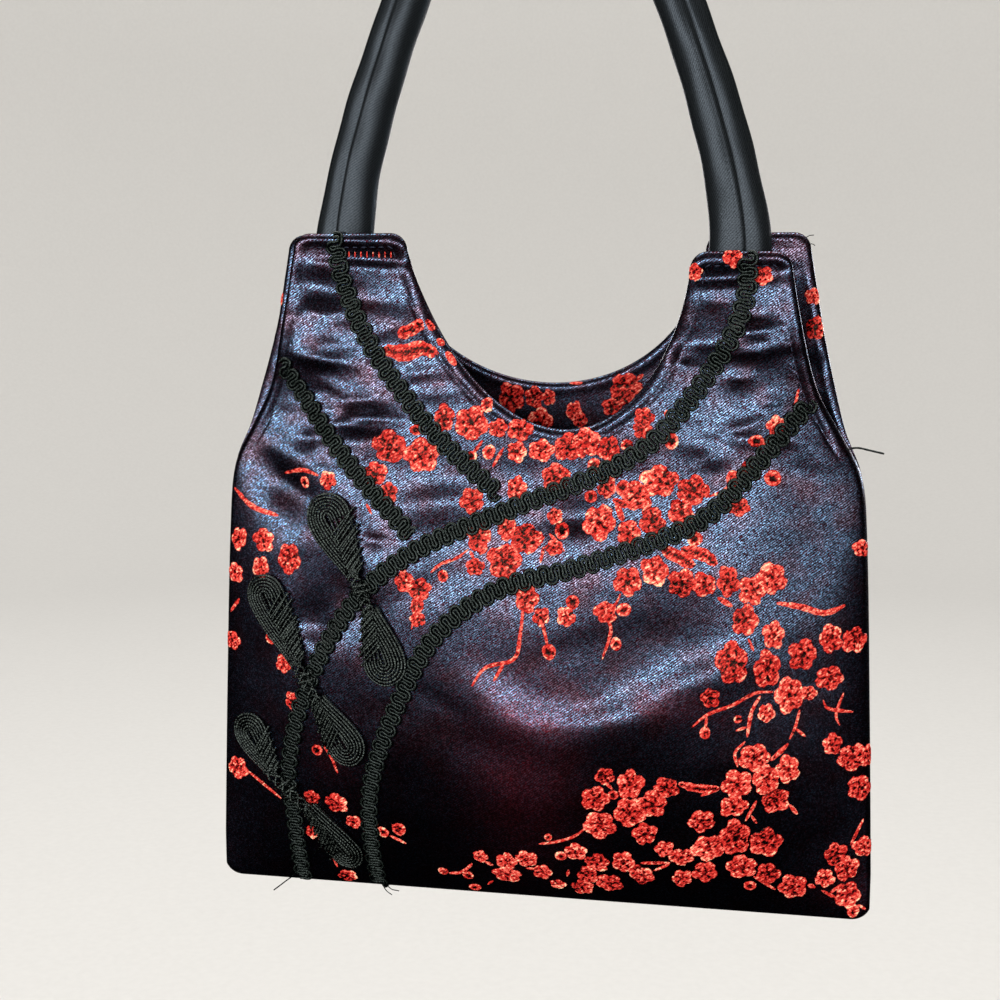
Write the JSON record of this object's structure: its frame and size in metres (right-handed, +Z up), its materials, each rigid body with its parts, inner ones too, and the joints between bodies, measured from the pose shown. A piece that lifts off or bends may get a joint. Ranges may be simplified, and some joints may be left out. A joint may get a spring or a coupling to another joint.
{
  "type": "tank-top evening purse",
  "caption": "Small evening purse cut like a tank top, in plum-blossom brocade with scroll braid and corded leaves, hanging by one rolled satin handle.",
  "frame": {"origin": "inside of the handle's top, where the purse hangs", "axes": "+Z up, +X to the right seen from the front, the decorated front faces -Y"},
  "size_m": [0.198, 0.0469, 0.336],
  "materials": {
    "brocade_satin": "lustrous navy and wine shot satin with coral brocade",
    "handle_satin": "black satin, soft lustre",
    "black_cord": "black rayon cord, low lustre"
  },
  "bodies": {
    "root": {"front_panel": "brocade_satin", "back_panel": "brocade_satin", "handle": "handle_satin", "braid_1": "black_cord", "braid_2": "black_cord", "braid_3": "black_cord", "braid_4": "black_cord", "leaf_1": "black_cord", "leaf_2": "black_cord", "leaf_3": "black_cord", "leaf_4": "black_cord", "leaf_5": "black_cord", "leaf_6": "black_cord"}
  },
  "joints": []
}
